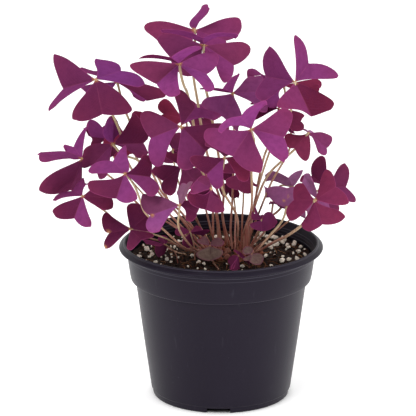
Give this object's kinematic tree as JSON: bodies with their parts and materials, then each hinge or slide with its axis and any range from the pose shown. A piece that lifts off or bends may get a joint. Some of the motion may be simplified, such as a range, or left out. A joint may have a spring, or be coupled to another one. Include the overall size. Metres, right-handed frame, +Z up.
{
  "type": "potted shamrock plant",
  "caption": "Purple-leaved shamrock houseplant with three-part folded leaves on thin stalks, growing from a crown in a round black nursery pot of potting mix.",
  "frame": {"origin": "centre of the pot's rest face, on the surface that the pot stands on", "axes": "+Z up along the pot's axis; the pictured side faces -Y; +X is to the right of the picture"},
  "size_m": [0.2574, 0.2039, 0.3187],
  "materials": {
    "pot_plastic": "satin moulded polypropylene",
    "potting_mix": "rough damp peat and bark with perlite",
    "bulb_scale": "dry fibrous scales",
    "leaf_purple": "soft satin leaf",
    "stalk_tan": "smooth fleshy stalk"
  },
  "bodies": {
    "root": {"pot": "pot_plastic", "soil": "potting_mix", "crown": "bulb_scale", "leaf_01_blade": "leaf_purple", "leaf_01_stem": "stalk_tan", "leaf_02_blade": "leaf_purple", "leaf_02_stem": "stalk_tan", "leaf_03_blade": "leaf_purple", "leaf_03_stem": "stalk_tan", "leaf_04_blade": "leaf_purple", "leaf_04_stem": "stalk_tan", "leaf_05_blade": "leaf_purple", "leaf_05_stem": "stalk_tan", "leaf_06_blade": "leaf_purple", "leaf_06_stem": "stalk_tan", "leaf_07_blade": "leaf_purple", "leaf_07_stem": "stalk_tan", "leaf_08_blade": "leaf_purple", "leaf_08_stem": "stalk_tan", "leaf_09_blade": "leaf_purple", "leaf_09_stem": "stalk_tan", "leaf_10_blade": "leaf_purple", "leaf_10_stem": "stalk_tan", "leaf_11_blade": "leaf_purple", "leaf_11_stem": "stalk_tan", "leaf_12_blade": "leaf_purple", "leaf_12_stem": "stalk_tan", "leaf_13_blade": "leaf_purple", "leaf_13_stem": "stalk_tan", "leaf_14_blade": "leaf_purple", "leaf_14_stem": "stalk_tan", "leaf_15_blade": "leaf_purple", "leaf_15_stem": "stalk_tan", "leaf_16_blade": "leaf_purple", "leaf_16_stem": "stalk_tan", "leaf_17_blade": "leaf_purple", "leaf_17_stem": "stalk_tan", "leaf_18_blade": "leaf_purple", "leaf_18_stem": "stalk_tan", "leaf_19_blade": "leaf_purple", "leaf_19_stem": "stalk_tan", "small_leaf_01": "leaf_purple", "small_leaf_02": "leaf_purple", "small_leaf_03": "leaf_purple", "small_leaf_04": "leaf_purple", "small_leaf_05": "leaf_purple", "small_leaf_06": "leaf_purple", "small_leaf_07": "leaf_purple", "small_leaf_08": "leaf_purple", "small_leaf_09": "leaf_purple", "small_leaf_10": "leaf_purple", "small_leaf_11": "leaf_purple", "small_leaf_12": "leaf_purple", "small_leaf_13": "leaf_purple", "small_leaf_14": "leaf_purple", "small_leaf_15": "leaf_purple", "small_leaf_16": "leaf_purple", "small_leaf_17": "leaf_purple", "small_leaf_18": "leaf_purple", "small_leaf_19": "leaf_purple"}
  },
  "joints": []
}
